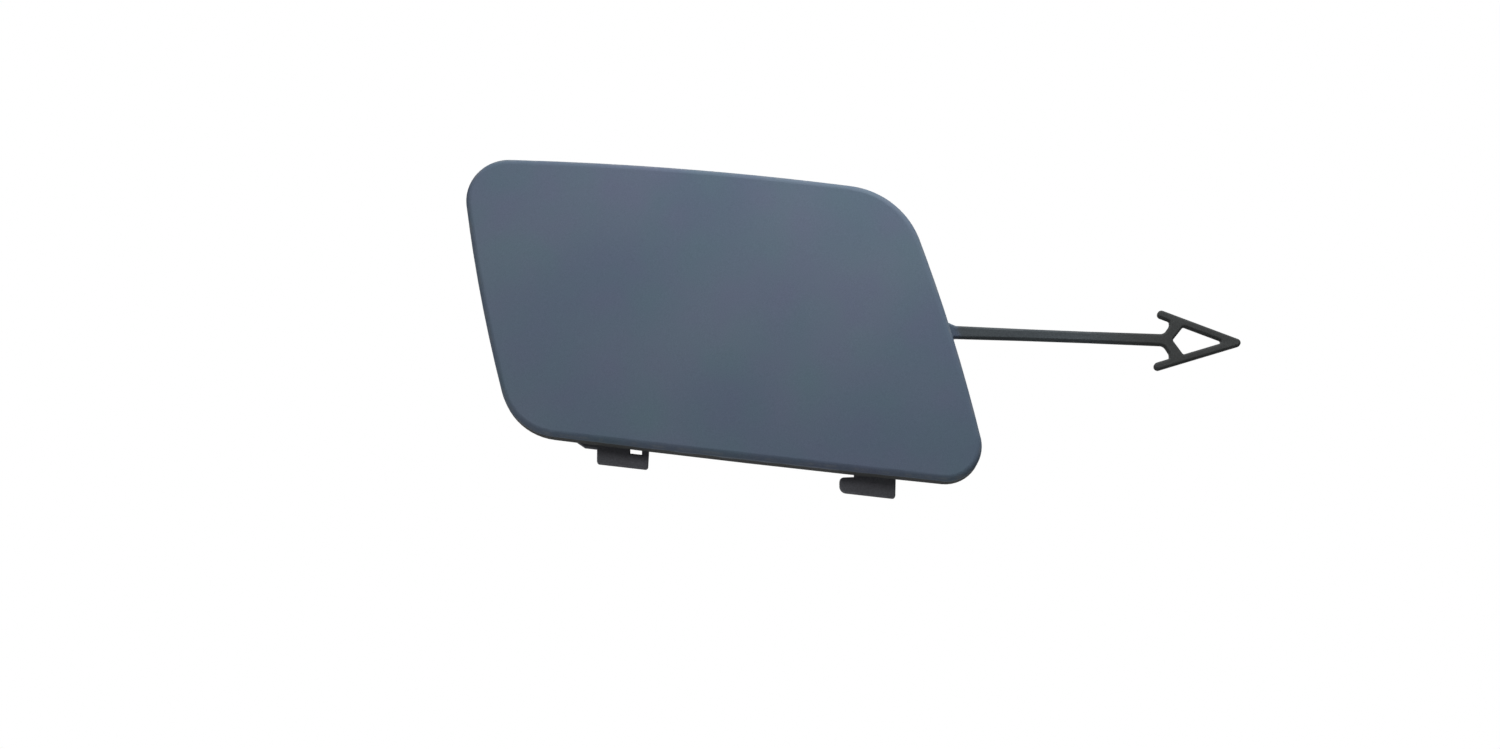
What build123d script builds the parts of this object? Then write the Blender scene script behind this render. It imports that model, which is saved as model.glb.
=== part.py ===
"""Bumper tow hook cover: one moulded piece.

A crowned, four-sided panel with a return wall, a carrier frame behind it, two lower hooks,
two upper snap latches and a tether strap that ends in an arrow-shaped barb.
Millimetres. +X is right, +Z is up and the painted face looks along -Y.
The origin lies in the middle of the plane that the rim of the return wall seats on.
"""
import os
from math import cos, degrees, radians, sin, sqrt, tan

from build123d import *

# Panel outline, seen square on
panel_width = 79.6
panel_height = 50.4
top_slope = 5.1
bottom_slope = 6.6
left_lean = 11.6
right_lean = 16.1
top_bulge = 1.0
right_bulge = 1.1
bottom_bulge = 0.35
left_bulge = 1.1
corner_top_left = 7.4
corner_top_right = 15.0
corner_bottom_right = 6.3
corner_bottom_left = 11.0

# Crowned face and return wall
corner_hollow_depth = 0.46
crown_radius_across = 700.0
crown_radius_upright = 450.0
crown_apex = 12.0
skin_thickness = 2.2
wall_thickness = 1.8
face_edge_round = 1.1
hollow_edge_round = 0.6
rim_edge_round = 0.25

# Edge of the bumper opening that the hooks and latches grip
flange_thickness = 2.8
flange_clearance = 0.2

# Carrier frame behind the panel
frame_inset = 4.0
frame_thickness = 1.4
frame_back = 3.0
frame_edge_round = 0.3

# Low stiffening ribs on the back of the skin
rib_height = 1.2
rib_thickness = 1.2
upright_rib_count = 3
upright_rib_middle = 1.0
upright_rib_spacing = 20.0
upright_rib_lean = 13.8
long_rib_slope = 5.8

# Lower hooks, both alike in depth
lip_thickness = 1.6
foot_round = 0.5
lip_edge_round = 0.3
gusset_thickness = 1.2
gusset_height = 4.0
gusset_inset = 1.2

# Left hook: a shoulder, a foot and a window beside a thin post
left_hook_start = -20.95
left_hook_width = 9.5
left_hook_taper = 0.4
left_foot_drop = 2.85
shoulder_reach = 3.6
shoulder_drop = 0.2
shoulder_end_run = 1.4
shoulder_end_rise = 0.8
window_start = 5.9
window_width = 2.1
window_drop = 0.35

# Right hook: a stem with a toe reaching left
right_hook_start = 22.2
right_hook_width = 10.2
right_hook_taper = 0.3
right_foot_drop = 3.0
toe_reach = 2.6
toe_drop = 0.0
toe_slope_drop = 0.4
toe_top_round = 0.8
toe_foot_round = 1.3

# Upper snap latches
latch_width = 8.0
latch_spread = 34.0
latch_middle = -2.0
latch_reach = 5.5
latch_catch = 1.5
latch_catch_land = 0.7
latch_tip_land = 0.4
latch_slot = 1.2

# Tether strap
strap_root_height = -2.68
strap_slope = 2.2
strap_length = 38.6
strap_root_width = 2.3
strap_middle_width = 2.0
strap_end_width = 2.1
strap_thickness = 1.6
strap_rim_gap = 0.3
strap_flare = 0.5
strap_flare_run = 1.2
strap_edge_round = 0.45

# Arrow-shaped barb at the end of the strap
barb_length = 13.4
barb_half_angle = 19.1
barb_arm_width = 1.42
barb_upper_overhang = 1.5
barb_lower_overhang = 2.1
barb_link_start = 1.0
barb_notch_depth = 0.7
barb_notch_side = 0.85
barb_opening_start = 1.3
barb_opening_peak = 3.2
barb_foot_round = 1.2
barb_notch_round = 0.4
barb_link_round = 1.0
barb_opening_round = 0.35

half_width = panel_width / 2
half_height = panel_height / 2
top_fall = tan(radians(top_slope))
bottom_fall = tan(radians(bottom_slope))
lip_front = flange_thickness + flange_clearance
lip_back = lip_front + lip_thickness
latch_back = lip_front + latch_reach


def panel_corner(side_x, side_lean, edge_z, edge_fall):
    """Point where a leaning side meets a sloping edge."""
    lean = tan(radians(side_lean))
    x = (side_x - edge_z * lean) / (1 - edge_fall * lean)
    return (x, edge_z - x * edge_fall)


top_left = panel_corner(-half_width, left_lean, half_height, top_fall)
top_right = panel_corner(half_width, right_lean, half_height, top_fall)
bottom_right = panel_corner(half_width, right_lean, -half_height, bottom_fall)
bottom_left = panel_corner(-half_width, left_lean, -half_height, bottom_fall)


def crown_fall(point):
    """How far the crowned face falls back at this point from its highest spot."""
    across = (point[0] - crown_apex) ** 2 / (2 * crown_radius_across)
    return across + point[1] ** 2 / (2 * crown_radius_upright)


farthest_fall = max(crown_fall(point) for point in (top_left, top_right, bottom_right, bottom_left))
face_depth = farthest_fall + skin_thickness + corner_hollow_depth
blank_depth = 2 * face_depth

with BuildSketch(Plane.XZ) as panel_outline:
    with BuildLine():
        top_edge = SagittaArc(top_left, top_right, top_bulge)
        right_edge = SagittaArc(top_right, bottom_right, right_bulge)
        SagittaArc(bottom_right, bottom_left, bottom_bulge)
        SagittaArc(bottom_left, top_left, left_bulge)
    make_face()
    for corner, radius in (
        (top_left, corner_top_left),
        (top_right, corner_top_right),
        (bottom_right, corner_bottom_right),
        (bottom_left, corner_bottom_left),
    ):
        fillet(panel_outline.vertices().sort_by_distance(corner)[0], radius)

panel_arcs = panel_outline.sketch_local.edges()


def inset_outline(inset):
    """The panel's outline moved inwards, each arc keeping its own centre."""
    with BuildSketch(Plane.XZ) as moved:
        with BuildLine():
            for arc in panel_arcs:
                middle = arc.arc_center
                share = 1 - inset / arc.radius
                ThreePointArc(*(middle + (arc @ place - middle) * share for place in (0, 0.5, 1)))
        make_face()
    return moved.sketch_local


hollow_outline = inset_outline(wall_thickness)
frame_outline = inset_outline(frame_inset)
frame_bore = inset_outline(frame_inset + frame_thickness)
rib_field = inset_outline(frame_inset + frame_thickness / 2)


def behind_crown(depth):
    """Everything behind a crowned surface that lies this far under the painted face."""
    across = crown_radius_across - depth
    upright = crown_radius_upright - depth
    fall = upright - sqrt(upright**2 - panel_height**2)
    inner = across - face_depth - latch_back
    swing = panel_width / across
    middle = (crown_apex, crown_radius_across - face_depth, 0)
    start = Plane(middle, x_dir=(-sin(swing), -cos(swing), 0), z_dir=(-cos(swing), sin(swing), 0))
    with BuildPart() as region:
        with BuildSketch(start):
            with BuildLine():
                ThreePointArc((across - fall, -panel_height), (across, 0), (across - fall, panel_height))
                Polyline(
                    (across - fall, panel_height),
                    (inner, panel_height),
                    (inner, -panel_height),
                    (across - fall, -panel_height),
                )
            make_face()
        revolve(axis=Axis(middle, (0, 0, 1)), revolution_arc=degrees(2 * swing))
    return region.part


skin_front = behind_crown(0)
skin_middle = behind_crown(skin_thickness / 2)
skin_back = behind_crown(skin_thickness)
rib_back = behind_crown(skin_thickness + rib_height)

with BuildPart() as hollow:
    with BuildSketch(Plane.XZ):
        add(hollow_outline)
    extrude(amount=face_depth)
    add(skin_back, mode=Mode.INTERSECT)
    fillet(hollow.faces().sort_by(Axis.Y)[0].edges(), hollow_edge_round)


def foot_line(x, drop):
    """Point this far below the chord of the panel's bottom edge."""
    return (x, -half_height - x * bottom_fall - drop)


lip_plane = Plane.XZ.offset(-lip_front)
shelf_rise = frame_inset + frame_thickness
left_hook_end = left_hook_start + left_hook_width
shoulder_start = left_hook_start - shoulder_reach
window_left = left_hook_start + window_start
window_right = window_left + window_width
right_hook_end = right_hook_start + right_hook_width
stem_start = right_hook_start + toe_reach

left_foot = (
    foot_line(left_hook_start, left_foot_drop),
    foot_line(left_hook_end - left_hook_taper, left_foot_drop),
)
with BuildSketch(lip_plane) as left_lip:
    Polygon(
        foot_line(shoulder_start, -shelf_rise),
        foot_line(shoulder_start, shoulder_drop - shoulder_end_rise),
        foot_line(shoulder_start + shoulder_end_run, shoulder_drop),
        foot_line(left_hook_start, shoulder_drop),
        *left_foot,
        foot_line(left_hook_end, -shelf_rise),
        align=None,
    )
    Polygon(
        foot_line(window_left, window_drop),
        foot_line(window_right, window_drop),
        foot_line(window_right, -frame_inset),
        foot_line(window_left, -frame_inset),
        align=None,
        mode=Mode.SUBTRACT,
    )
    for corner in left_foot:
        fillet(left_lip.vertices().sort_by_distance(corner)[0], foot_round)

toe_top = foot_line(right_hook_start, toe_drop + toe_slope_drop)
toe_foot = foot_line(right_hook_start, right_foot_drop)
stem_foot = foot_line(right_hook_end - right_hook_taper, right_foot_drop)
with BuildSketch(lip_plane) as right_lip:
    Polygon(
        foot_line(stem_start, -shelf_rise),
        foot_line(stem_start, toe_drop),
        toe_top,
        toe_foot,
        stem_foot,
        foot_line(right_hook_end, -shelf_rise),
        align=None,
    )
    for corner, radius in ((toe_top, toe_top_round), (toe_foot, toe_foot_round), (stem_foot, foot_round)):
        fillet(right_lip.vertices().sort_by_distance(corner)[0], radius)

with BuildPart() as lips:
    for outline in (left_lip, right_lip):
        with BuildSketch(lip_plane):
            add(outline.sketch_local)
            add(frame_bore, mode=Mode.SUBTRACT)
        extrude(amount=-lip_thickness)
    fillet(lips.faces().filter_by(Axis.Y).edges(), lip_edge_round)


def point_on(edge, x, start, end):
    """Point on an edge at about this x, between its two ends."""
    return edge @ ((x - start[0]) / (end[0] - start[0]))


latch_spots = [
    point_on(top_edge, latch_middle + side * latch_spread / 2, top_left, top_right) for side in (-1, 1)
]

with BuildPart() as carrier:
    with BuildSketch(Plane.XZ.offset(-frame_back)):
        add(frame_outline)
        add(frame_bore, mode=Mode.SUBTRACT)
        with Locations(*latch_spots):
            Rectangle(latch_width + 2 * latch_slot, panel_height, -top_slope, mode=Mode.SUBTRACT)
    extrude(amount=frame_back + face_depth)
    fillet(carrier.faces().group_by(Axis.Y)[-1].edges(), frame_edge_round)
    with BuildSketch(Plane.XZ.offset(-latch_back)):
        with Locations(*latch_spots):
            Rectangle(latch_width, panel_height, -top_slope)
        add(frame_outline, mode=Mode.INTERSECT)
        add(frame_bore, mode=Mode.SUBTRACT)
    extrude(amount=latch_back + face_depth)
    with BuildSketch(Plane.XZ.offset(-lip_back)):
        for start, end in ((shoulder_start, left_hook_end), (stem_start, right_hook_end)):
            with Locations(((start + end) / 2, -half_height)):
                Rectangle(end - start, panel_height)
        add(frame_outline, mode=Mode.INTERSECT)
        add(frame_bore, mode=Mode.SUBTRACT)
    extrude(amount=lip_back + face_depth)
    add(skin_middle, mode=Mode.INTERSECT)

along_top = (cos(radians(top_slope)), 0, -sin(radians(top_slope)))
over_top = (sin(radians(top_slope)), 0, cos(radians(top_slope)))
with BuildPart() as latch_heads:
    for spot in latch_spots:
        foot = Vector(spot.X, 0, spot.Y) - Vector(over_top) * frame_inset
        with BuildSketch(Plane(foot, x_dir=over_top, z_dir=along_top)):
            Polygon(
                (-frame_thickness / 2, -lip_front),
                (latch_catch, -lip_front),
                (latch_catch, -(lip_front + latch_catch_land)),
                (0, -(latch_back - latch_tip_land)),
                (-frame_thickness / 2, -(latch_back - latch_tip_land)),
                align=None,
            )
        extrude(amount=latch_width / 2, both=True)

with BuildPart() as gussets:
    for x in (left_hook_start + gusset_inset, left_hook_end - gusset_inset, right_hook_end - gusset_inset):
        seat = foot_line(x, -shelf_rise)[1]
        with BuildSketch(Plane.YZ.offset(x)):
            Polygon(
                (-face_depth, seat - frame_thickness / 2),
                (lip_back, seat - frame_thickness / 2),
                (lip_back, seat),
                (-skin_thickness, seat + gusset_height),
                (-face_depth, seat + gusset_height),
                align=None,
            )
        extrude(amount=gusset_thickness / 2, both=True)
    add(skin_middle, mode=Mode.INTERSECT)

with BuildPart() as ribs:
    with BuildSketch(Plane.XZ):
        with Locations((upright_rib_middle, 0)):
            with GridLocations(upright_rib_spacing, 0, upright_rib_count, 1):
                Rectangle(rib_thickness, panel_height, upright_rib_lean)
        Rectangle(panel_width, rib_thickness, -long_rib_slope)
        add(rib_field, mode=Mode.INTERSECT)
    extrude(amount=face_depth)
    add(skin_middle, mode=Mode.INTERSECT)
    add(rib_back, mode=Mode.SUBTRACT)

root_share = (strap_root_height - top_right[1]) / (bottom_right[1] - top_right[1])
strap_root = right_edge @ root_share
strap_layer = Plane(
    (strap_root.X, -(strap_rim_gap + strap_thickness / 2), strap_root_height),
    x_dir=(cos(radians(strap_slope)), 0, -sin(radians(strap_slope))),
    z_dir=(0, -1, 0),
)
root_half = strap_root_width / 2
middle_half = strap_middle_width / 2
end_half = strap_end_width / 2
arm_rise = tan(radians(barb_half_angle))
arm_half_upright = barb_arm_width / 2 / cos(radians(barb_half_angle))
barb_tip = strap_length + barb_length - barb_arm_width / 2
notch_x = strap_length + barb_notch_depth
opening_start = strap_length + barb_opening_start
opening_peak = strap_length + barb_opening_peak
opening_end = barb_tip - arm_half_upright / arm_rise
link_start = strap_length - barb_link_start


def arm_line(x):
    """Height of the upper arm's middle line over the strap's axis."""
    return (barb_tip - x) * arm_rise


def inner_line(x):
    """Height of the upper arm's inner side over the strap's axis."""
    return arm_line(x) - arm_half_upright


notch_height = inner_line(notch_x) - barb_notch_side
link_rise = notch_height / (barb_link_start + barb_notch_depth)
link_to_tip = (barb_tip - notch_x) / cos(radians(barb_half_angle))

with BuildPart() as tether:
    with BuildSketch(strap_layer) as tether_outline:
        with BuildLine():
            ThreePointArc((0, root_half), (strap_length / 2, middle_half), (strap_length, end_half))
            Line((strap_length, end_half), (strap_length, -end_half))
            ThreePointArc((strap_length, -end_half), (strap_length / 2, -middle_half), (0, -root_half))
            Line((0, -root_half), (0, root_half))
        make_face()
        Polygon(
            (-wall_thickness / 2, root_half + strap_flare),
            (-wall_thickness / 2, -root_half - strap_flare),
            (0, -root_half - strap_flare),
            (strap_flare_run, -root_half),
            (strap_flare_run, root_half),
            (0, root_half + strap_flare),
            align=None,
        )
        for side, overhang in ((-1, barb_lower_overhang), (1, barb_upper_overhang)):
            reach = link_to_tip + overhang
            arm_middle = barb_tip - reach / 2 * cos(radians(barb_half_angle))
            with Locations((arm_middle, side * arm_line(arm_middle))):
                SlotCenterToCenter(reach, barb_arm_width, -side * barb_half_angle)
        Polygon(
            (link_start, 0),
            (notch_x, notch_height),
            (notch_x, arm_line(notch_x)),
            (barb_tip, 0),
            (notch_x, -arm_line(notch_x)),
            (notch_x, -notch_height),
            align=None,
        )
        Polygon(
            (opening_start, 0),
            (opening_peak, inner_line(opening_peak)),
            (opening_end, 0),
            (opening_peak, -inner_line(opening_peak)),
            align=None,
            mode=Mode.SUBTRACT,
        )
        rounded = [
            (opening_start, 0, barb_opening_round),
            (opening_end, 0, barb_opening_round),
        ]
        for side in (-1, 1):
            rounded += [
                (opening_peak, side * inner_line(opening_peak), barb_opening_round),
                (notch_x, side * inner_line(notch_x), barb_notch_round),
                (notch_x, side * notch_height, barb_link_round),
                (link_start + end_half / link_rise, side * end_half, barb_foot_round),
            ]
        for x, y, radius in rounded:
            fillet(tether_outline.vertices().sort_by_distance((x, y))[0], radius)
    extrude(amount=strap_thickness / 2, both=True)
    fillet(tether.faces().filter_by(Axis.Y).edges(), strap_edge_round)

with BuildPart() as tow_hook_cover:
    with BuildSketch(Plane.XZ):
        add(panel_outline.sketch_local)
    extrude(amount=blank_depth)
    add(skin_front, mode=Mode.INTERSECT)
    fillet(tow_hook_cover.faces().sort_by(Axis.Y)[0].edges(), face_edge_round)
    add(hollow.part, mode=Mode.SUBTRACT)
    fillet(tow_hook_cover.faces().sort_by(Axis.Y)[-1].edges(), rim_edge_round)
    for piece in (carrier, lips, latch_heads, gussets, ribs, tether):
        add(piece.part)

tow_hook_cover.part.label = "tow_hook_cover"
os.makedirs("parts", exist_ok=True)
export_step(tow_hook_cover.part, "parts/tow_hook_cover.step")
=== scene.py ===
"""Bumper tow hook cover: one moulding, primed in front and bare behind, on a pale stage.

Metres. +X is right, +Z is up and the primed face looks along -Y.
"""

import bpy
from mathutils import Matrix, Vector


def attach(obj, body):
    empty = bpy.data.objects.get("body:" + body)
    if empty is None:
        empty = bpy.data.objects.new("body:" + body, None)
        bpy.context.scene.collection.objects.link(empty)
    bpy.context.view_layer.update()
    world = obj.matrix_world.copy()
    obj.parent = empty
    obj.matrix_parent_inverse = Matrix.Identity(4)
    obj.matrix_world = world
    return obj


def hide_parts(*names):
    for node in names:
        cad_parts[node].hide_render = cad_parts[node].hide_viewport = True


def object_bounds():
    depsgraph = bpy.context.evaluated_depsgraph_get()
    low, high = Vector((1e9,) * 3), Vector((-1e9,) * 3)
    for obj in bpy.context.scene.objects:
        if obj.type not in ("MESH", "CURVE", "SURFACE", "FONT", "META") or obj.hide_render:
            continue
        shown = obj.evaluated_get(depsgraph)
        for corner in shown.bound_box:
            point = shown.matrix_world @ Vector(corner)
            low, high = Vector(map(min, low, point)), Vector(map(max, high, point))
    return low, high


bl_info = {
    "name": "Tow hook cover",
    "version": (1, 0, 0),
    "blender": (4, 5, 0),
    "location": "View3D > Sidebar > Cover",
    "description": "Finishes a primed tow hook cover and sets up its stage",
    "category": "Object",
}

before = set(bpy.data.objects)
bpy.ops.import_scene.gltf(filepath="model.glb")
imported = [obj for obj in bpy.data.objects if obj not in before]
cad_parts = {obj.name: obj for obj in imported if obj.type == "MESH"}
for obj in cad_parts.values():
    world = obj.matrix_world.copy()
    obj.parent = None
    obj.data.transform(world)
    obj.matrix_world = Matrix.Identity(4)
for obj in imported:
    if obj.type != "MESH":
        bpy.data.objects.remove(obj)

from math import atan2, cos, radians, sin

import bmesh
import bpy
from bpy.props import FloatProperty, FloatVectorProperty, IntProperty, PointerProperty
from bpy.types import Operator, Panel, PropertyGroup
from mathutils import Vector
from mathutils.bvhtree import BVHTree

cad_low, cad_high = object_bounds()

MM = 0.001
MOULDING_NODE = "tow_hook_cover"
PLASTIC_NAME = "moulded_black"
PIN_FACE_NAME = "pin_pressed_black"
SPECULAR_LEVEL = 0.1

# Corners of the copied moulding closer than this are one
MERGE_GAP = 0.5e-6

# Way that the primer is sprayed, and what it leaves bare: faces behind the rim or turned away
SPRAY_WAY = Vector((0, 1, 0))
STEP_OFF_FACE = 0.02 * MM
MASKED_BEHIND = 0.3 * MM
TURNED_AWAY = 0.5

# Patches of each finish, by their width
CLOUD_WIDTH = 18 * MM
TINT_WIDTH = 9 * MM
SPECK_WIDTH = 0.16 * MM
DROP_WIDTH = 0.13 * MM
DRIFT_WIDTH = 3.5 * MM
STREAK_WIDTH = 2.2 * MM
RUB_AND_HIGHLIGHT_ON_PRIMER = 2.2 * MM
RUB_AND_HIGHLIGHT_ON_PLASTIC = 1.3 * MM
MOTTLE_WIDTH = 12 * MM

# Noise keeps between these two, on both sides of its middle
NOISE_LOW, NOISE_HIGH = 0.3, 0.7

# Hue of the primer where its tint's noise is 0, and how far the noise turns it. 0.5 leaves it as it is
TINT_HUE, TINT_TURN = 0.465, 0.075

# Specks' share of the primer's relief, and how flow draws the plastic's streaks out along X
SPECK_RELIEF = 0.22
STREAK_DRAW = (0.15, 1.0, 1.0)

# Edge rub and painted highlight: none on a face this square, all of it on a round this oblique, where
# noise is in this range
SQUARE_FACE, FULL_ROUND = 0.93, 0.76
HANDLED_LOW, HANDLED_HIGH = 0.42, 0.62

# What the rub adds to the value and roughness of plastic, and to the value and saturation of primer. The
# lighter value is partly wear and partly painted highlight
PLASTIC_RUB_AND_HIGHLIGHT_VALUE, PLASTIC_RUB_ROUGHNESS = 0.5, -0.08
PRIMER_RUB_AND_HIGHLIGHT_VALUE, PRIMER_RUB_AND_HIGHLIGHT_SATURATION = 0.07, -0.3

# The primer's border, in widths of its fade: how far it runs to each side, and how far noise shifts it
BORDER_REACH = 0.8
BORDER_SHIFT = (0.25, 0.75, -0.5, 0.5)

# The strap's own finish starts this far past the panel's side, and its dust ends at this many reaches
STRAP_START = 0.3 * MM
DUST_TAIL = 1.5

# Where the panel's right side is felt for: above and below the strap, a little in front of the rim
FEELER_SPREAD = 9 * MM
STRAP_AT_SIDE = -2.7 * MM
FEELER_DEPTH = -1.5 * MM

# An ejector pin's mark: its disc narrows to its top, and a bead of flash runs round it
PIN_SIDES = 40
PIN_TAPER = 0.97
BEAD_SIDES = 8
BEAD_RING = 1.05
BEAD_RADIUS = 0.8
PIN_FACE_SHADE = 1.25
PIN_FACE_POLISH = 0.3

# The gate's stub: it narrows to a torn top
GATE_SIDES = 28
GATE_STEPS = 4
GATE_TAPER = 0.6
GATE_SUNK = 0.5
TEAR_WIDTH = 0.35 * MM

# A mark needs a back that rises or falls no more than this, as far out as this many pin radii
LEVEL_STEP = 0.35 * MM
PIN_CLEARANCE = 1.2

# Name, place, width and setting of each lamp
LAMPS = (
    ("key_lamp", (0.08, -0.10, 0.20), 0.1, "key_power"),
    ("left_lamp", (-0.50, -0.90, 0.17), 0.2, "left_power"),
    ("back_lamp", (-0.08, 0.40, 0.15), 0.2, "back_power"),
)
FLOOR_RADIUS = 6.0
FLOOR_SIDES = 96
SENSOR_WIDTH = 36.0
NEAREST_SEEN = 10 * MM
FARTHEST_SEEN = 50.0


class PrimerSettings(PropertyGroup):
    colour: FloatVectorProperty(
        name="Colour", description="Primer where it covers fully",
        subtype="COLOR", size=3, min=0, max=1, default=(0.107, 0.143, 0.195),
    )
    peel_width: FloatProperty(
        name="Peel width", description="Width of one dimple of the sprayed surface",
        unit="LENGTH", default=1.1 * MM,
    )
    peel_height: FloatProperty(
        name="Peel height", description="Depth of the dimples of the sprayed surface",
        unit="LENGTH", precision=6, default=0.006 * MM,
    )
    wall_reach: FloatProperty(
        name="Wall reach",
        description="How far in front of the rim the primer on the return wall thins out",
        unit="LENGTH", default=3.5 * MM,
    )
    front_reach: FloatProperty(
        name="Front reach",
        description="How much farther back the primer reaches on a face that looks forwards",
        unit="LENGTH", default=8 * MM,
    )
    strap_reach: FloatProperty(
        name="Strap reach", description="Length of strap that is primed beside the panel",
        unit="LENGTH", default=1.6 * MM,
    )
    fade: FloatProperty(
        name="Fade", description="Width of the speckled border of the primer",
        unit="LENGTH", default=0.9 * MM,
    )


class PlasticSettings(PropertyGroup):
    # Bare plastic is set about twice as light as the strap's plastic: partly painted light, making up for
    # the shade on the hooks' feet
    colour: FloatVectorProperty(
        name="Colour", description="Bare moulded plastic",
        subtype="COLOR", size=3, min=0, max=1, default=(0.127, 0.130, 0.144),
    )
    strap_colour: FloatVectorProperty(
        name="Strap colour",
        description="Plastic of the strap with the dust of primer that settles on it",
        subtype="COLOR", size=3, min=0, max=1, default=(0.064, 0.075, 0.083),
    )
    # Darker plastic: on the rim of the return wall it is painted shade, and on the strap's far end it is
    # plastic without dust
    rim_shade_and_barb_colour: FloatVectorProperty(
        name="Edge colour", description="Plastic of the rim and the barb, where no dust settles",
        subtype="COLOR", size=3, min=0, max=1, default=(0.050, 0.053, 0.053),
    )
    dust_reach: FloatProperty(
        name="Dust reach", description="Length of strap that the dust of primer covers evenly",
        unit="LENGTH", default=22 * MM,
    )
    grain_width: FloatProperty(
        name="Grain width", description="Width of one grain of the mould's texture",
        unit="LENGTH", default=0.28 * MM,
    )
    grain_height: FloatProperty(
        name="Grain height", description="Depth of the mould's texture",
        unit="LENGTH", precision=6, default=0.012 * MM,
    )


class MarkSettings(PropertyGroup):
    columns: IntProperty(name="Columns", description="Ejector pins across the panel", default=4, min=2)
    rows: IntProperty(name="Rows", description="Ejector pins up the panel", default=2, min=2)
    column_gap: FloatProperty(
        name="Column gap", description="From one column of pins to the next",
        unit="LENGTH", default=20 * MM,
    )
    row_gap: FloatProperty(
        name="Row gap", description="From one row of pins to the next",
        unit="LENGTH", default=19 * MM,
    )
    column_lean: FloatProperty(
        name="Column lean", description="How far the columns lean, as the panel's sides do",
        subtype="ANGLE", default=radians(13.8),
    )
    row_slope: FloatProperty(
        name="Row slope", description="How far the rows fall to the right, as the panel's edges do",
        subtype="ANGLE", default=radians(5.8),
    )
    middle: FloatVectorProperty(
        name="Middle", description="Middle of the pins",
        subtype="XYZ", unit="LENGTH", size=3, default=(1 * MM, 0, 0),
    )
    pin_radius: FloatProperty(
        name="Pin radius", description="Radius of an ejector pin's mark",
        unit="LENGTH", default=1.6 * MM,
    )
    pin_height: FloatProperty(
        name="Pin height", description="How far an ejector pin's mark stands up",
        unit="LENGTH", precision=6, default=0.16 * MM,
    )
    gate_place: FloatVectorProperty(
        name="Gate place", description="Where the plastic was let in",
        subtype="XYZ", unit="LENGTH", size=3, default=(6.5 * MM, 0, -6.0 * MM),
    )
    gate_radius: FloatProperty(
        name="Gate radius", description="Radius of the stub that the gate leaves",
        unit="LENGTH", default=0.9 * MM,
    )
    gate_height: FloatProperty(
        name="Gate height", description="Height of the stub that the gate leaves",
        unit="LENGTH", precision=6, default=0.35 * MM,
    )


class StageSettings(PropertyGroup):
    lens: FloatProperty(
        name="Lens", description="Focal length on a sensor 36 mm wide",
        subtype="DISTANCE_CAMERA", default=60.0,
    )
    distance: FloatProperty(
        name="Distance", description="From the camera to the point that it looks at",
        unit="LENGTH", default=445 * MM,
    )
    elevation: FloatProperty(
        name="Elevation", description="Height of the camera over the object, as an angle",
        subtype="ANGLE", default=radians(-12),
    )
    aim: FloatVectorProperty(
        name="Aim", description="Point that the camera looks at",
        subtype="XYZ", unit="LENGTH", size=3, default=(6.308 * MM, 0, -10.134 * MM),
    )
    floor_height: FloatProperty(
        name="Floor height", description="Height of the floor, below the camera",
        unit="LENGTH", default=-400 * MM,
    )
    floor_colour: FloatVectorProperty(
        name="Floor colour", description="Pale floor",
        subtype="COLOR", size=3, min=0, max=1, default=(0.6, 0.6, 0.6),
    )
    floor_glow: FloatProperty(
        name="Floor glow", description="How much paler than its light the floor shows itself",
        default=0.55, min=0,
    )
    ambient: FloatProperty(
        name="Ambient", description="Light that comes evenly from all round", default=0.15, min=0,
    )
    key_power: FloatProperty(
        name="Key lamp", description="Watts of the lamp close by, to the upper right in front",
        default=0.59, min=0,
    )
    left_power: FloatProperty(
        name="Left lamp", description="Watts of the far lamp to the left in front, a little above",
        default=2.88, min=0,
    )
    back_power: FloatProperty(
        name="Back lamp", description="Watts of the lamp behind", default=0.9, min=0,
    )


def node(tree, kind, **values):
    """Adds a node. Values name its properties, or its input sockets by number as in_0."""
    made = tree.nodes.new(kind)
    for key, value in values.items():
        if key.startswith("in_"):
            made.inputs[int(key[3:])].default_value = value
        else:
            setattr(made, key, value)
    return made


def link(tree, *pairs):
    for source, target in pairs:
        tree.links.new(source, target)


def feed(tree, socket, term):
    """Links an output to an input, or sets the input to a plain value."""
    if isinstance(term, bpy.types.NodeSocket):
        tree.links.new(term, socket)
    else:
        socket.default_value = term


def maths(tree, operation, *terms):
    """A Math node whose terms are numbers or output sockets. Returns its output."""
    made = node(tree, "ShaderNodeMath", operation=operation)
    for socket, term in zip(made.inputs, terms):
        feed(tree, socket, term)
    return made.outputs[0]


def vector_maths(tree, operation, *terms):
    """A Vector Math node whose terms are vectors or output sockets. Returns its vector output."""
    made = node(tree, "ShaderNodeVectorMath", operation=operation)
    for socket, term in zip(made.inputs, terms):
        feed(tree, socket, term)
    return made.outputs[0]


def scaled(tree, vector, factor):
    """A vector times a number. Each is a value or an output socket."""
    made = node(tree, "ShaderNodeVectorMath", operation="SCALE")
    feed(tree, made.inputs[0], vector)
    feed(tree, made.inputs["Scale"], factor)
    return made.outputs[0]


def parts_of(tree, vector):
    """The X, Y and Z outputs of a vector."""
    made = node(tree, "ShaderNodeSeparateXYZ")
    tree.links.new(vector, made.inputs[0])
    return made.outputs


def between(tree, value, start, end, low=0.0, high=1.0):
    """Runs smoothly from low to high as a value goes from start to end."""
    made = node(tree, "ShaderNodeMapRange", interpolation_type="SMOOTHSTEP")
    for place, term in enumerate((value, start, end, low, high)):
        feed(tree, made.inputs[place], term)
    return made.outputs[0]


def noise(tree, vector, width, detail=2.0, roughness=0.5):
    """Noise whose blobs are about this wide. It keeps near its middle, 0.5."""
    made = node(tree, "ShaderNodeTexNoise", in_3=detail, in_4=roughness)
    if isinstance(width, float):
        made.inputs["Scale"].default_value = 1 / width
    else:
        tree.links.new(maths(tree, "DIVIDE", 1.0, width), made.inputs["Scale"])
    tree.links.new(vector, made.inputs["Vector"])
    return made.outputs["Fac"]


def spread(tree, value, low, high):
    """Spreads noise out so that it runs from low to high."""
    return between(tree, value, NOISE_LOW, NOISE_HIGH, low, high)


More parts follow.
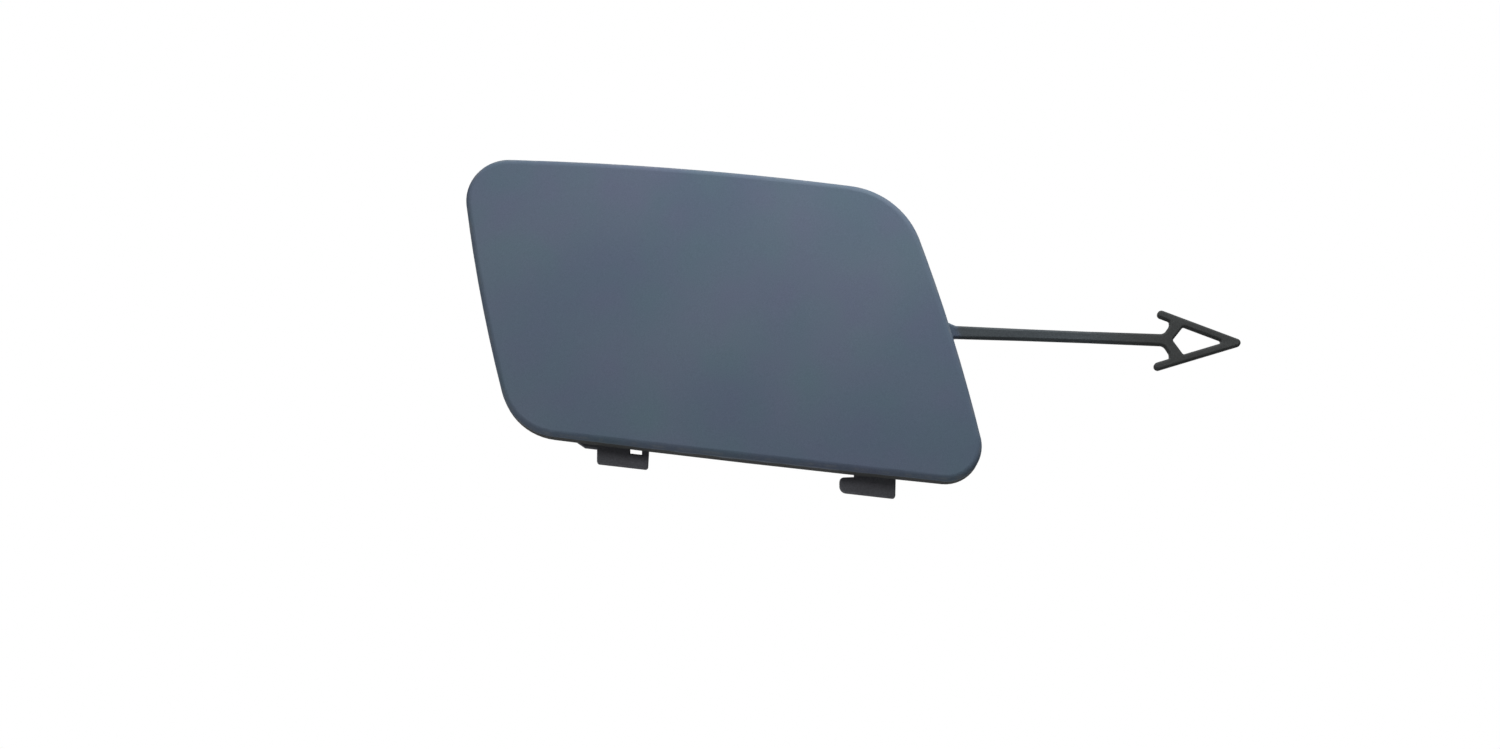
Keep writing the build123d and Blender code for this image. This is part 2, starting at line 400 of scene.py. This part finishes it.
def mixed(tree, share, first, second):
    """Mixes two values or colours. Returns the output socket."""
    colours = first.type == "RGBA"
    made = node(tree, "ShaderNodeMix", data_type="RGBA" if colours else "FLOAT")
    ends = (6, 7, 2) if colours else (2, 3, 0)
    link(tree, (share, made.inputs[0]), (first, made.inputs[ends[0]]), (second, made.inputs[ends[1]]))
    return made.outputs[ends[2]]


def shader_group(name, inputs, outputs):
    """An empty shader node group. Returns it with its input and output nodes."""
    group = bpy.data.node_groups.new(name, "ShaderNodeTree")
    for direction, sockets in (("INPUT", inputs), ("OUTPUT", outputs)):
        for label, kind in sockets:
            group.interface.new_socket(name=label, in_out=direction, socket_type="NodeSocket" + kind)
    return group, node(group, "NodeGroupInput").outputs, node(group, "NodeGroupOutput").inputs


def primer_group():
    """Sprayed primer: soft clouds, fine specks and shallow dimples."""
    group, given, result = shader_group(
        "primer_coat",
        (("Vector", "Vector"), ("Color", "Color"), ("Peel Width", "Float")),
        (("Color", "Color"), ("Roughness", "Float"), ("Height", "Float")),
    )
    clouds = noise(group, given["Vector"], CLOUD_WIDTH)
    tint = noise(group, given["Vector"], TINT_WIDTH, detail=1.0)
    specks = noise(group, given["Vector"], SPECK_WIDTH, detail=3.0, roughness=0.6)
    dimples = noise(group, given["Vector"], given["Peel Width"], detail=1.0)
    shift = node(group, "ShaderNodeHueSaturation")
    link(
        group,
        (maths(group, "MULTIPLY_ADD", tint, TINT_TURN, TINT_HUE), shift.inputs["Hue"]),
        (spread(group, clouds, 1.05, 0.95), shift.inputs["Saturation"]),
        (spread(group, clouds, 0.975, 1.03), shift.inputs["Value"]),
        (given["Color"], shift.inputs["Color"]),
    )
    speckled = node(group, "ShaderNodeMix", data_type="RGBA", blend_type="MULTIPLY")
    speckled.inputs[0].default_value = 1.0
    grey = node(group, "ShaderNodeCombineColor")
    level = spread(group, specks, 0.93, 1.07)
    gloss = maths(group, "ADD", spread(group, clouds, 0.52, 0.58), spread(group, specks, -0.04, 0.04))
    link(group, *((level, grey.inputs[place]) for place in range(3)))
    link(
        group,
        (shift.outputs[0], speckled.inputs[6]),
        (grey.outputs[0], speckled.inputs[7]),
        (speckled.outputs[2], result["Color"]),
        (gloss, result["Roughness"]),
        (maths(group, "MULTIPLY_ADD", specks, SPECK_RELIEF, dimples), result["Height"]),
    )
    return group


def plastic_group():
    """Moulded plastic: spark grain from the mould and faint streaks of flow."""
    group, given, result = shader_group(
        "moulded_grain",
        (("Vector", "Vector"), ("Color", "Color"), ("Grain Width", "Float")),
        (("Color", "Color"), ("Roughness", "Float"), ("Height", "Float")),
    )
    streaks_way = node(group, "ShaderNodeMapping", in_3=STREAK_DRAW)
    link(group, (given["Vector"], streaks_way.inputs[0]))
    streaks = noise(group, streaks_way.outputs[0], STREAK_WIDTH)
    grain = noise(group, given["Vector"], given["Grain Width"], detail=3.0, roughness=0.6)
    shift = node(group, "ShaderNodeHueSaturation")
    level = maths(group, "MULTIPLY", spread(group, streaks, 0.9, 1.12), spread(group, grain, 0.88, 1.12))
    gloss = maths(group, "ADD", spread(group, streaks, 0.72, 0.80), spread(group, grain, 0.06, -0.06))
    link(
        group,
        (level, shift.inputs["Value"]),
        (given["Color"], shift.inputs["Color"]),
        (shift.outputs[0], result["Color"]),
        (gloss, result["Roughness"]),
        (grain, result["Height"]),
    )
    return group


def rub_and_highlight_group():
    """Mask of the narrow rounds between square faces, broken up by handling. Where it lightens them, this
    is partly handling wear and partly painted highlight.
    """
    group, given, result = shader_group(
        "edge_rub",
        (("Vector", "Vector"), ("Normal", "Vector"), ("Patch Width", "Float")),
        (("Mask", "Float"),),
    )
    across, along, up = parts_of(group, vector_maths(group, "ABSOLUTE", given["Normal"]))
    squareness = maths(group, "MAXIMUM", maths(group, "MAXIMUM", across, along), up)
    patches = noise(group, given["Vector"], given["Patch Width"], detail=4.0, roughness=0.65)
    rounds = between(group, squareness, SQUARE_FACE, FULL_ROUND)
    handled = between(group, patches, HANDLED_LOW, HANDLED_HIGH)
    link(group, (maths(group, "MULTIPLY", rounds, handled), result["Mask"]))
    return group


def fade_group():
    """Primer that thins out past a limit, with a border of settled drops."""
    group, given, result = shader_group(
        "spray_fade",
        (("Vector", "Vector"), ("Past Limit", "Float"), ("Fade", "Float")),
        (("Mask", "Float"),),
    )
    drops = noise(group, given["Vector"], DROP_WIDTH, roughness=0.7)
    drift = noise(group, given["Vector"], DRIFT_WIDTH)
    unevenness = maths(
        group, "ADD", between(group, drops, *BORDER_SHIFT), between(group, drift, *BORDER_SHIFT),
    )
    past = maths(group, "ADD", maths(group, "DIVIDE", given["Past Limit"], given["Fade"]), unevenness)
    link(group, (between(group, past, BORDER_REACH, -BORDER_REACH), result["Mask"]))
    return group


def material(name):
    """An empty material. Returns it with its tree and its Principled shader."""
    made = bpy.data.materials.new(name)
    made.use_nodes = True
    return made, made.node_tree, made.node_tree.nodes["Principled BSDF"]


def effect(tree, group, **values):
    """Places a node group. Values name its inputs, with _ for a space. Returns its outputs."""
    made = node(tree, "ShaderNodeGroup", node_tree=group)
    for key, value in values.items():
        feed(tree, made.inputs[key.replace("_", " ")], value)
    return made.outputs


def rgba(colour):
    return (*colour, 1.0)


def relief(tree, height, depth, shader):
    """Bump of a height map that is this deep."""
    bump = node(tree, "ShaderNodeBump")
    bump.inputs["Strength"].default_value = 1.0
    bump.inputs["Distance"].default_value = depth
    link(tree, (height, bump.inputs["Height"]), (bump.outputs[0], shader.inputs["Normal"]))


def plastic_material(name, groups, plastic, shade, polish):
    """Bare plastic. Shade makes it lighter and polish makes it smoother than it is elsewhere."""
    made, tree, shader = material(name)
    shader.inputs["Specular IOR Level"].default_value = SPECULAR_LEVEL
    where = node(tree, "ShaderNodeTexCoord").outputs
    body = effect(tree, groups["plastic"], Vector=where["Object"], Color=rgba(plastic.colour),
                  Grain_Width=plastic.grain_width)
    rub_and_highlight = effect(tree, groups["rub_and_highlight"], Vector=where["Object"], Normal=where["Normal"],
                 Patch_Width=RUB_AND_HIGHLIGHT_ON_PLASTIC)
    # The rounds in the rub mask are made lighter: partly wear, partly painted highlight
    lighter = node(tree, "ShaderNodeHueSaturation")
    smoother = maths(tree, "MULTIPLY_ADD", rub_and_highlight["Mask"], PLASTIC_RUB_ROUGHNESS, body["Roughness"])
    link(
        tree,
        (maths(tree, "MULTIPLY_ADD", rub_and_highlight["Mask"], PLASTIC_RUB_AND_HIGHLIGHT_VALUE, shade), lighter.inputs["Value"]),
        (body["Color"], lighter.inputs["Color"]),
        (lighter.outputs[0], shader.inputs["Base Color"]),
        (maths(tree, "SUBTRACT", smoother, polish), shader.inputs["Roughness"]),
    )
    relief(tree, body["Height"], plastic.grain_height * (1 - polish), shader)
    return made


def primed_material(groups, primer, plastic, side, lean):
    """Primer over plastic. It ends on the return wall, and on the strap just past the panel's side."""
    made, tree, shader = material("blue_grey_primer")
    shader.inputs["Specular IOR Level"].default_value = SPECULAR_LEVEL
    where = node(tree, "ShaderNodeTexCoord").outputs
    coat = effect(tree, groups["primer"], Vector=where["Object"], Color=rgba(primer.colour),
                  Peel_Width=primer.peel_width)
    off_side = node(tree, "ShaderNodeMapping", vector_type="TEXTURE")
    off_side.inputs["Location"].default_value = side
    off_side.inputs["Rotation"].default_value = (0, lean, 0)
    link(tree, (where["Object"], off_side.inputs[0]))
    beyond = parts_of(tree, off_side.outputs[0])[0]
    depth = parts_of(tree, where["Object"])[1]
    forwards = maths(tree, "MULTIPLY", parts_of(tree, where["Normal"])[1], -1.0)
    spared = maths(tree, "MULTIPLY", maths(tree, "MAXIMUM", forwards, 0.0), primer.front_reach)
    down_wall = maths(tree, "SUBTRACT", maths(tree, "ADD", depth, primer.wall_reach), spared)
    along_strap = maths(tree, "SUBTRACT", beyond, primer.strap_reach)
    on_strap = maths(tree, "GREATER_THAN", beyond, STRAP_START)
    wall = effect(tree, groups["fade"], Vector=where["Object"], Past_Limit=down_wall, Fade=primer.fade)
    strap = effect(tree, groups["fade"], Vector=where["Object"], Past_Limit=along_strap, Fade=primer.fade)
    cover = mixed(tree, on_strap, wall["Mask"], strap["Mask"])

    # Past the primer, the rim takes the darker plastic as painted shade, and the strap takes the dusty
    # colour near the panel
    strap_dust_and_rim_shade = node(tree, "ShaderNodeMix", data_type="RGBA")
    strap_dust_and_rim_shade.inputs[6].default_value = rgba(plastic.rim_shade_and_barb_colour)
    strap_dust_and_rim_shade.inputs[7].default_value = rgba(plastic.strap_colour)
    dust = between(tree, beyond, plastic.dust_reach, plastic.dust_reach * DUST_TAIL, 1.0, 0.0)
    link(tree, (maths(tree, "MULTIPLY", dust, on_strap), strap_dust_and_rim_shade.inputs[0]))
    body = effect(tree, groups["plastic"], Vector=where["Object"], Color=strap_dust_and_rim_shade.outputs[2],
                  Grain_Width=plastic.grain_width)

    colour = mixed(tree, cover, body["Color"], coat["Color"])
    rub_and_highlight = effect(tree, groups["rub_and_highlight"], Vector=where["Object"], Normal=where["Normal"],
                 Patch_Width=RUB_AND_HIGHLIGHT_ON_PRIMER)
    # The rounds in the rub mask are made lighter and greyer: partly wear, partly painted highlight
    lighter = node(tree, "ShaderNodeHueSaturation")
    link(
        tree,
        (maths(tree, "MULTIPLY_ADD", rub_and_highlight["Mask"], PRIMER_RUB_AND_HIGHLIGHT_SATURATION, 1.0),
         lighter.inputs["Saturation"]),
        (maths(tree, "MULTIPLY_ADD", rub_and_highlight["Mask"], PRIMER_RUB_AND_HIGHLIGHT_VALUE, 1.0), lighter.inputs["Value"]),
        (colour, lighter.inputs["Color"]),
        (lighter.outputs[0], shader.inputs["Base Color"]),
        (mixed(tree, cover, body["Roughness"], coat["Roughness"]), shader.inputs["Roughness"]),
    )
    primer_height = maths(tree, "MULTIPLY", coat["Height"], primer.peel_height)
    grain_height = maths(tree, "MULTIPLY", body["Height"], plastic.grain_height)
    relief(tree, mixed(tree, cover, grain_height, primer_height), 1.0, shader)
    return made


def geometry_tree(name, sockets):
    """A Geometry Nodes tree that takes and gives geometry.

    Returns it with its input and output nodes' sockets and the identifiers of its inputs.
    """
    tree = bpy.data.node_groups.new(name, "GeometryNodeTree")
    tree.interface.new_socket(name="Geometry", in_out="INPUT", socket_type="NodeSocketGeometry")
    tree.interface.new_socket(name="Geometry", in_out="OUTPUT", socket_type="NodeSocketGeometry")
    keys = {}
    for label, kind in sockets:
        made = tree.interface.new_socket(name=label, in_out="INPUT", socket_type="NodeSocket" + kind)
        keys[label] = made.identifier
    return tree, node(tree, "NodeGroupInput").outputs, node(tree, "NodeGroupOutput").inputs, keys


def grow(maker, tree, keys, values, name):
    """Runs a Geometry Nodes tree with these inputs on an object. Returns the plain result."""
    modifier = maker.modifiers.new(tree.name, "NODES")
    modifier.node_group = tree
    for label, value in values.items():
        modifier[keys[label]] = value
    return flatten(maker, name)


def keep_used_slots(mesh):
    """Drops the material slots that no face uses."""
    worn = [mesh.materials[face.material_index] for face in mesh.polygons]
    kept = sorted(set(worn), key=lambda entry: entry.name)
    mesh.materials.clear()
    for entry in kept:
        mesh.materials.append(entry)
    mesh.polygons.foreach_set("material_index", [kept.index(entry) for entry in worn])


def flatten(maker, name):
    """Turns an object with live modifiers into a plain one that holds the result."""
    bpy.context.view_layer.update()
    graph = bpy.context.evaluated_depsgraph_get()
    mesh = bpy.data.meshes.new_from_object(maker.evaluated_get(graph), depsgraph=graph)
    mesh.name = name
    keep_used_slots(mesh)
    made = bpy.data.objects.new(name, mesh)
    bpy.context.scene.collection.objects.link(made)
    used = maker.data
    bpy.data.objects.remove(maker)
    bpy.data.meshes.remove(used)
    return made


def cast(tree, target, start, way):
    """Sends a ray from a place to the geometry. Returns the node's outputs."""
    ray = node(tree, "GeometryNodeRaycast")
    ray.inputs["Ray Length"].default_value = 1.0
    feed(tree, ray.inputs["Ray Direction"], way)
    link(tree, (target, ray.inputs["Target Geometry"]), (start, ray.inputs["Source Position"]))
    return ray.outputs


def spray_tree():
    """Gives primer to each face that the spray reaches, and bare plastic to the others.

    The spray reaches a face where a line halfway between the face's normal and the way back
    to the spray gun meets nothing. What stands behind the masking depth is masked off.
    """
    tree, given, result, keys = geometry_tree(
        "spray_reach",
        (
            ("Step Off", "Float"),
            ("Masked Behind", "Float"),
            ("Turned Away", "Float"),
            ("Primer", "Material"),
            ("Plastic", "Material"),
        ),
    )
    place = node(tree, "GeometryNodeInputPosition").outputs[0]
    normal = node(tree, "GeometryNodeInputNormal").outputs[0]
    halfway = vector_maths(tree, "SUBTRACT", normal, tuple(SPRAY_WAY))
    off_face = vector_maths(tree, "ADD", place, scaled(tree, normal, given["Step Off"]))
    in_front = maths(tree, "LESS_THAN", parts_of(tree, place)[1], given["Masked Behind"])
    towards = maths(tree, "LESS_THAN", parts_of(tree, normal)[1], given["Turned Away"])
    clear = maths(tree, "SUBTRACT", 1.0, cast(tree, given["Geometry"], off_face, halfway)["Is Hit"])
    reached = maths(tree, "MULTIPLY", maths(tree, "MULTIPLY", in_front, towards), clear)
    bare = node(tree, "GeometryNodeSetMaterial")
    primed = node(tree, "GeometryNodeSetMaterial")
    whole = node(tree, "GeometryNodeRealizeInstances")
    link(
        tree,
        (given["Geometry"], whole.inputs[0]),
        (whole.outputs[0], bare.inputs["Geometry"]),
        (given["Plastic"], bare.inputs["Material"]),
        (bare.outputs[0], primed.inputs["Geometry"]),
        (reached, primed.inputs["Selection"]),
        (given["Primer"], primed.inputs["Material"]),
        (primed.outputs[0], result["Geometry"]),
    )
    return tree, keys


def merged_copy(source, name):
    """A copy of a CAD mesh with its loose triangles merged and its exact normals kept."""
    mesh = source.data.copy()
    mesh.name = name
    normals = [corner.vector.copy() for corner in mesh.corner_normals]
    faces = len(mesh.polygons)
    work = bmesh.new()
    work.from_mesh(mesh)
    bmesh.ops.remove_doubles(work, verts=work.verts, dist=MERGE_GAP)
    work.to_mesh(mesh)
    work.free()
    if len(mesh.polygons) != faces:
        raise RuntimeError("merging the moulding's copy lost faces")
    mesh.normals_split_custom_set(normals)
    copy = bpy.data.objects.new(name, mesh)
    bpy.context.scene.collection.objects.link(copy)
    return copy


def panel_side(source):
    """Where the strap leaves the panel's right side, and how far that side leans from upright."""
    tree = BVHTree.FromObject(source, bpy.context.evaluated_depsgraph_get())
    far = cad_high.x + 1
    touched = []
    for beside in (-FEELER_SPREAD, FEELER_SPREAD):
        hit = tree.ray_cast(Vector((far, FEELER_DEPTH, STRAP_AT_SIDE + beside)), Vector((-1, 0, 0)))
        if hit[0] is None:
            raise RuntimeError("the panel's right side wasn't found")
        touched.append(hit[0])
    along = touched[1] - touched[0]
    return (touched[0] + touched[1]) / 2, atan2(along.x, along.z)


def stand_on_back(tree, target, points, start, shape, reach, sink):
    """Stands a shape on the moulding's back in front of each starting place.

    It stands only where the back is there and level as far as the reach, and is sunk into it a little.
    """
    forwards = tuple(-SPRAY_WAY)
    middle = cast(tree, target, start, forwards)
    depth = parts_of(tree, middle["Hit Position"])[1]
    level = maths(tree, "MULTIPLY", middle["Is Hit"], maths(tree, "LESS_THAN", depth, 0.0))
    for way in ((1, 0, 0), (-1, 0, 0), (0, 0, 1), (0, 0, -1)):
        beside = vector_maths(tree, "ADD", start, scaled(tree, way, reach))
        found = parts_of(tree, cast(tree, target, beside, forwards)["Hit Position"])[1]
        step = maths(tree, "ABSOLUTE", maths(tree, "SUBTRACT", found, depth))
        level = maths(tree, "MULTIPLY", level, maths(tree, "LESS_THAN", step, LEVEL_STEP))
    turned = node(tree, "FunctionNodeAlignRotationToVector", axis="Z")
    stood = node(tree, "GeometryNodeInstanceOnPoints")
    seated = node(tree, "GeometryNodeSetPosition")
    sunk = scaled(tree, middle["Hit Normal"], maths(tree, "MULTIPLY", sink, -1.0))
    link(
        tree,
        (middle["Hit Normal"], turned.inputs["Vector"]),
        (points, stood.inputs["Points"]),
        (level, stood.inputs["Selection"]),
        (shape, stood.inputs["Instance"]),
        (turned.outputs[0], stood.inputs["Rotation"]),
        (stood.outputs[0], seated.inputs["Geometry"]),
        (vector_maths(tree, "ADD", middle["Hit Position"], sunk), seated.inputs["Position"]),
    )
    return seated.outputs[0]


def pin_mark(tree, radius, height):
    """The mark of an ejector pin: a low disc and the thin ring of flash round it. Returns the geometry."""
    disc = node(tree, "GeometryNodeMeshCone")
    disc.inputs["Vertices"].default_value = PIN_SIDES
    ring = node(tree, "GeometryNodeCurvePrimitiveCircle")
    ring.inputs["Resolution"].default_value = PIN_SIDES
    bead = node(tree, "GeometryNodeCurvePrimitiveCircle")
    bead.inputs["Resolution"].default_value = BEAD_SIDES
    flash = node(tree, "GeometryNodeCurveToMesh")
    both = node(tree, "GeometryNodeJoinGeometry")
    link(
        tree,
        (radius, disc.inputs["Radius Bottom"]),
        (maths(tree, "MULTIPLY", radius, PIN_TAPER), disc.inputs["Radius Top"]),
        (maths(tree, "MULTIPLY", height, 2.0), disc.inputs["Depth"]),
        (maths(tree, "MULTIPLY", radius, BEAD_RING), ring.inputs["Radius"]),
        (maths(tree, "MULTIPLY", height, BEAD_RADIUS), bead.inputs["Radius"]),
        (ring.outputs[0], flash.inputs["Curve"]),
        (bead.outputs[0], flash.inputs["Profile Curve"]),
        (disc.outputs[0], both.inputs[0]),
        (flash.outputs[0], both.inputs[0]),
    )
    return both.outputs[0]


def gate_mark(tree, radius, height):
    """The stub where the plastic was let in, with a torn top. Returns the geometry."""
    stub = node(tree, "GeometryNodeMeshCone")
    stub.inputs["Vertices"].default_value = GATE_SIDES
    stub.inputs["Side Segments"].default_value = GATE_STEPS
    stub.inputs["Fill Segments"].default_value = GATE_STEPS
    torn = node(tree, "GeometryNodeSetPosition")
    rough = noise(tree, node(tree, "GeometryNodeInputPosition").outputs[0], TEAR_WIDTH, detail=3.0)
    lift = node(tree, "ShaderNodeCombineXYZ")
    link(
        tree,
        (radius, stub.inputs["Radius Bottom"]),
        (maths(tree, "MULTIPLY", radius, GATE_TAPER), stub.inputs["Radius Top"]),
        (maths(tree, "MULTIPLY", height, 1 + GATE_SUNK), stub.inputs["Depth"]),
        (maths(tree, "MULTIPLY", maths(tree, "SUBTRACT", rough, 0.5), height), lift.inputs[2]),
        (stub.outputs[0], torn.inputs["Geometry"]),
        (lift.outputs[0], torn.inputs["Offset"]),
    )
    return torn.outputs[0]


def marks_tree():
    """Ejector pins' marks in leaning columns and sloping rows, and the gate's stub, on the back."""
    tree, given, result, keys = geometry_tree(
        "moulding_marks",
        (
            ("Columns", "Int"), ("Rows", "Int"), ("Column Gap", "Float"), ("Row Gap", "Float"),
            ("Column Lean", "Float"), ("Row Slope", "Float"), ("Middle", "Vector"),
            ("Pin Radius", "Float"), ("Pin Height", "Float"), ("Gate Place", "Vector"),
            ("Gate Radius", "Float"), ("Gate Height", "Float"), ("Plastic", "Material"),
        ),
    )
    grid = node(tree, "GeometryNodeMeshGrid")
    for label, gap, count, size in (
        ("Columns", "Column Gap", "Vertices X", "Size X"),
        ("Rows", "Row Gap", "Vertices Y", "Size Y"),
    ):
        gaps = maths(tree, "SUBTRACT", given[label], 1.0)
        link(
            tree,
            (given[label], grid.inputs[count]),
            (maths(tree, "MULTIPLY", gaps, given[gap]), grid.inputs[size]),
        )
    across, up, _ = parts_of(tree, node(tree, "GeometryNodeInputPosition").outputs[0])
    lean = maths(tree, "MULTIPLY", up, maths(tree, "TANGENT", given["Column Lean"]))
    fall = maths(tree, "MULTIPLY", across, maths(tree, "TANGENT", given["Row Slope"]))
    spot = node(tree, "ShaderNodeCombineXYZ")
    link(
        tree,
        (maths(tree, "SUBTRACT", across, lean), spot.inputs[0]),
        (maths(tree, "SUBTRACT", up, fall), spot.inputs[2]),
    )
    behind = tuple(SPRAY_WAY * cad_high.y * 2)
    pin_start = vector_maths(tree, "ADD", spot.outputs[0], given["Middle"])
    pins = stand_on_back(
        tree, given["Geometry"], grid.outputs[0], vector_maths(tree, "ADD", pin_start, behind),
        pin_mark(tree, given["Pin Radius"], given["Pin Height"]),
        maths(tree, "MULTIPLY", given["Pin Radius"], PIN_CLEARANCE), given["Pin Height"],
    )
    point = node(tree, "GeometryNodePoints")
    gate = stand_on_back(
        tree, given["Geometry"], point.outputs[0], vector_maths(tree, "ADD", given["Gate Place"], behind),
        gate_mark(tree, given["Gate Radius"], given["Gate Height"]),
        given["Gate Radius"], maths(tree, "MULTIPLY", given["Gate Height"], GATE_SUNK),
    )
    marks = node(tree, "GeometryNodeJoinGeometry")
    whole = node(tree, "GeometryNodeRealizeInstances")
    finished = node(tree, "GeometryNodeSetMaterial")
    link(
        tree,
        (pins, marks.inputs[0]),
        (gate, marks.inputs[0]),
        (marks.outputs[0], whole.inputs[0]),
        (whole.outputs[0], finished.inputs["Geometry"]),
        (given["Plastic"], finished.inputs["Material"]),
        (finished.outputs[0], result["Geometry"]),
    )
    return tree, keys


class COVER_OT_moulding(Operator):
    """Finish the moulding: primer where the spray reaches, bare plastic elsewhere"""

    bl_idname = "cover.moulding"
    bl_label = "Moulding"

    def execute(self, context):
        scene = context.scene
        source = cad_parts[MOULDING_NODE]
        side, lean = panel_side(source)
        groups = {
            "primer": primer_group(), "plastic": plastic_group(), "rub_and_highlight": rub_and_highlight_group(), "fade": fade_group(),
        }
        plastic = plastic_material(PLASTIC_NAME, groups, scene.cover_plastic, 1.0, 0.0)
        plastic_material(PIN_FACE_NAME, groups, scene.cover_plastic, PIN_FACE_SHADE, PIN_FACE_POLISH)
        primed = primed_material(groups, scene.cover_primer, scene.cover_plastic, side, lean)
        made = grow(merged_copy(source, "moulding_maker"), *spray_tree(), {
            "Step Off": STEP_OFF_FACE, "Masked Behind": MASKED_BEHIND, "Turned Away": TURNED_AWAY,
            "Primer": primed, "Plastic": plastic,
        }, "cover_moulding")
        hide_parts(MOULDING_NODE)
        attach(made, "root")
        return {"FINISHED"}


class COVER_OT_marks(Operator):
    """Mark the moulding's back where ejector pins pushed it out and where the plastic was let in"""

    bl_idname = "cover.marks"
    bl_label = "Moulding marks"

    def execute(self, context):
        marks = context.scene.cover_marks
        maker = merged_copy(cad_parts[MOULDING_NODE], "marks_maker")
        made = grow(maker, *marks_tree(), {
            "Columns": marks.columns, "Rows": marks.rows,
            "Column Gap": marks.column_gap, "Row Gap": marks.row_gap,
            "Column Lean": marks.column_lean, "Row Slope": marks.row_slope, "Middle": marks.middle,
            "Pin Radius": marks.pin_radius, "Pin Height": marks.pin_height,
            "Gate Place": marks.gate_place, "Gate Radius": marks.gate_radius,
            "Gate Height": marks.gate_height, "Plastic": bpy.data.materials[PIN_FACE_NAME],
        }, "moulding_marks")
        if not made.data.polygons:
            raise RuntimeError("no mark found a level spot")
        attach(made, "root")
        return {"FINISHED"}


class COVER_OT_stage(Operator):
    """Set up the pale floor, the soft studio light and the camera"""

    bl_idname = "cover.stage"
    bl_label = "Stage"

    def execute(self, context):
        stage = context.scene.cover_stage
        make_floor(stage)
        make_world(context.scene, stage)
        for name, spot, width, setting in LAMPS:
            make_lamp(name, Vector(spot), width, getattr(stage, setting))
        make_camera(context.scene, stage)
        return {"FINISHED"}


def shows_background(tree):
    """1 for the rays that show the background: from the camera, off gloss and through glass."""
    path = node(tree, "ShaderNodeLightPath").outputs
    seen = maths(tree, "MAXIMUM", path["Is Camera Ray"], path["Is Glossy Ray"])
    return maths(tree, "MAXIMUM", seen, path["Is Transmission Ray"])


def make_floor(stage):
    """A wide round floor, pale and still holding the object's shadow."""
    made, tree, shader = material("pale_floor")
    shader.inputs["Roughness"].default_value = 0.9
    shader.inputs["Specular IOR Level"].default_value = 0.1
    shader.inputs["Emission Strength"].default_value = 1.0
    where = node(tree, "ShaderNodeTexCoord").outputs["Object"]
    mottle = noise(tree, where, MOTTLE_WIDTH, detail=3.0)
    shown = node(tree, "ShaderNodeHueSaturation")
    shown.inputs["Color"].default_value = rgba(stage.floor_colour)
    glow = node(tree, "ShaderNodeCombineColor")
    level = maths(tree, "MULTIPLY", shows_background(tree), stage.floor_glow)
    link(
        tree,
        (spread(tree, mottle, 0.985, 1.0), shown.inputs["Value"]),
        (shown.outputs[0], shader.inputs["Base Color"]),
        *((level, glow.inputs[place]) for place in range(3)),
        (glow.outputs[0], shader.inputs["Emission Color"]),
    )
    shape = bmesh.new()
    bmesh.ops.create_circle(shape, cap_ends=True, radius=FLOOR_RADIUS, segments=FLOOR_SIDES)
    bmesh.ops.translate(shape, verts=shape.verts, vec=(0, 0, stage.floor_height))
    mesh = bpy.data.meshes.new("floor")
    shape.to_mesh(mesh)
    shape.free()
    mesh.materials.append(made)
    floor = bpy.data.objects.new("floor", mesh)
    bpy.context.scene.collection.objects.link(floor)


def make_world(scene, stage):
    """Even light all round that the camera sees as white."""
    world = bpy.data.worlds.new("studio")
    world.use_nodes = True
    tree = world.node_tree
    shader = tree.nodes["Background"]
    shader.inputs["Color"].default_value = (1, 1, 1, 1)
    strength = between(tree, shows_background(tree), 0.0, 1.0, stage.ambient, 1.0)
    link(tree, (strength, shader.inputs["Strength"]))
    scene.world = world


def make_lamp(name, spot, width, power):
    """A soft square lamp that faces the object."""
    data = bpy.data.lights.new(name, "AREA")
    data.size = width
    data.energy = power
    lamp = bpy.data.objects.new(name, data)
    lamp.location = spot
    lamp.rotation_euler = (-spot).to_track_quat("-Z", "Y").to_euler()
    lamp.visible_camera = False
    bpy.context.scene.collection.objects.link(lamp)


def make_camera(scene, stage):
    """The photograph's view: from the front, looking up a little."""
    data = bpy.data.cameras.new("camera")
    data.lens = stage.lens
    data.sensor_width = SENSOR_WIDTH
    data.clip_start = NEAREST_SEEN
    data.clip_end = FARTHEST_SEEN
    camera = bpy.data.objects.new("camera", data)
    back = Vector((0, -cos(stage.elevation), sin(stage.elevation)))
    camera.location = Vector(stage.aim) + back * stage.distance
    camera.rotation_euler = (-back).to_track_quat("-Z", "Y").to_euler()
    scene.collection.objects.link(camera)
    scene.camera = camera
    scene.view_settings.view_transform = "Standard"


class COVER_PT_tools(Panel):
    """Lists the cover's pieces and their settings"""

    bl_idname = "COVER_PT_tools"
    bl_label = "Tow hook cover"
    bl_space_type = "VIEW_3D"
    bl_region_type = "UI"
    bl_category = "Cover"

    def draw(self, context):
        scene = context.scene
        for operator, settings in PIECES:
            box = self.layout.box()
            for name in settings:
                group = getattr(scene, name)
                for key in group.__annotations__:
                    box.prop(group, key)
            box.operator(operator)


PIECES = (
    ("cover.moulding", ("cover_primer", "cover_plastic")),
    ("cover.marks", ("cover_marks",)),
    ("cover.stage", ("cover_stage",)),
)
SETTINGS = {
    "cover_primer": PrimerSettings,
    "cover_plastic": PlasticSettings,
    "cover_marks": MarkSettings,
    "cover_stage": StageSettings,
}
CLASSES = (*SETTINGS.values(), COVER_OT_moulding, COVER_OT_marks, COVER_OT_stage, COVER_PT_tools)


def register():
    for entry in CLASSES:
        bpy.utils.register_class(entry)
    for name, settings in SETTINGS.items():
        setattr(bpy.types.Scene, name, PointerProperty(type=settings))


def unregister():
    for name in SETTINGS:
        delattr(bpy.types.Scene, name)
    for entry in reversed(CLASSES):
        bpy.utils.unregister_class(entry)


def main():
    register()
    bpy.ops.cover.moulding()
    bpy.ops.cover.marks()
    bpy.ops.cover.stage()


if __name__ == "__main__":
    main()
